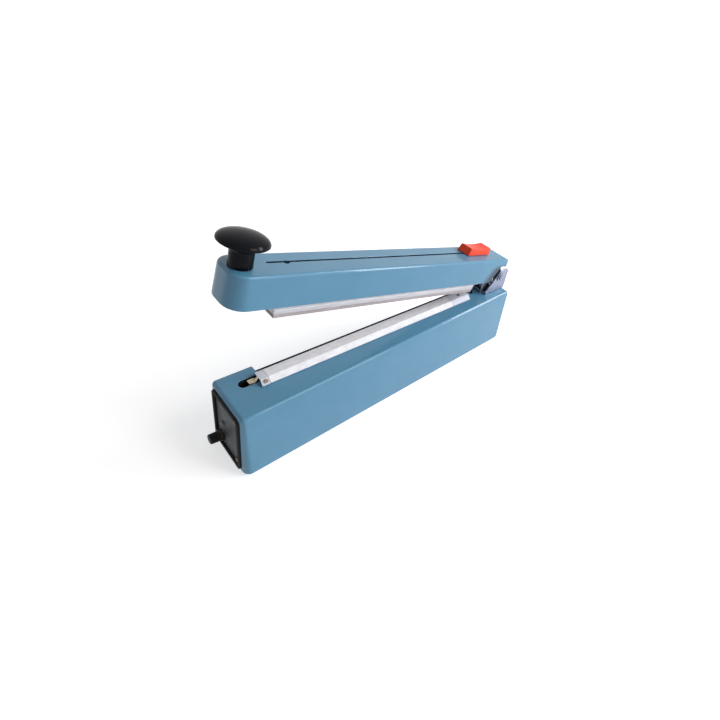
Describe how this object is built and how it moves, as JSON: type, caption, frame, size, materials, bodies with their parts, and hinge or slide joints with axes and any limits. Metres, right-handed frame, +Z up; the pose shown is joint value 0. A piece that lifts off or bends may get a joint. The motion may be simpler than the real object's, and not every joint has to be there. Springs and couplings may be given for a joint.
{
  "type": "impulse heat sealer",
  "caption": "Hand-pressed bench heat sealer for pouches: long tapered base with a sealing bar, hinged arm with a mushroom knob and a sliding cutter, and a timer knob on the end.",
  "frame": {"origin": "centre of the footprint of the whole part, on the surface that the feet stand on", "axes": "+X along the base from the timer end to the hinge, +Y from the front to the ledge at the back, +Z up"},
  "size_m": [0.3432, 0.0572, 0.1937],
  "materials": {
    "enamel": "sky-blue stoved enamel",
    "aluminium": "satin",
    "steel": "zinc plated",
    "darkSteel": "blackened",
    "brass": "dull",
    "gloss": "polished black",
    "matt": "black",
    "rubber": "black",
    "red": "orange red",
    "grey": "dark grey",
    "white": "off white",
    "silicone": "pinkish",
    "lamp": "tinted lens",
    "board": "green laminate",
    "laminated": "varnished plates",
    "copper": "enamelled wire"
  },
  "bodies": {
    "base": {"base_housing": "enamel", "bottom_cover": "steel", "bracket_screw_1": "steel", "bracket_screw_2": "steel", "cable_gland": "rubber", "circuit_board": "board", "clamp_screw_1": "brass", "clamp_screw_2": "steel", "control_end_clamp": "aluminium", "control_panel": "grey", "cover_screw_1": "steel", "cover_screw_2": "steel", "cover_screw_3": "steel", "cover_screw_4": "steel", "element_terminal": "brass", "fixed_terminal": "brass", "foot_1": "rubber", "foot_2": "rubber", "foot_3": "rubber", "foot_4": "rubber", "heating_element": "copper", "hinge_bracket": "steel", "hinge_end_clamp": "aluminium", "hinge_pin": "steel", "indicator_lamp": "lamp", "insulating_strip": "white", "microswitch": "matt", "nonstick_sheet": "white", "panel_gasket": "rubber", "panel_screw_1": "brass", "panel_screw_2": "brass", "pin_clip_1": "darkSteel", "pin_clip_2": "darkSteel", "return_spring": "darkSteel", "sealing_bar": "aluminium", "slot_insulator": "matt", "strap_screw_1": "steel", "strap_screw_2": "steel", "switch_screw_1": "steel", "switch_screw_2": "steel", "timer_body": "matt", "timer_nut": "brass", "transformer_coil": "copper", "transformer_core": "laminated", "transformer_strap": "steel"},
    "arm": {"arm_cover": "enamel", "pressing_rail": "aluminium", "silicone_strip": "silicone", "rail_screw_1": "steel", "rail_screw_2": "steel", "rail_screw_3": "steel", "handle_knob": "gloss", "handle_bolt": "steel", "striker_screw": "steel"},
    "cutter": {"cutter_slider": "red", "cutter_shoe": "matt", "cutter_blade": "steel", "blade_screw": "steel"},
    "timer": {"timer_knob": "matt"},
    "plunger": {"switch_plunger": "matt"}
  },
  "joints": [
    {"name": "arm_hinge", "type": "hinge", "parent": "base", "child": "arm", "pos_m": [0.14945, 0.00708, 0.0822], "axis": [0, 1, 0], "range_deg": [-12.8, 0], "stiffness_Nm_per_rad": 2.4, "springref_deg": 28.65, "deforming": ["return_spring"]},
    {"name": "cutter_slide", "type": "slide", "parent": "arm", "child": "cutter", "axis": [-0.9751, 0, 0.2215], "range_m": [0, 0.21]},
    {"name": "timer_turn", "type": "hinge", "parent": "base", "child": "timer", "pos_m": [-0.16047, 0.01208, 0.01589], "axis": [0.9988, 0, -0.0487], "range_deg": [-135, 135]},
    {"name": "plunger_press", "type": "slide", "parent": "base", "child": "plunger", "axis": [0, 0, -1], "range_m": [0, 0.0015], "stiffness_N_per_m": 300, "springref_m": -0.002}
  ]
}
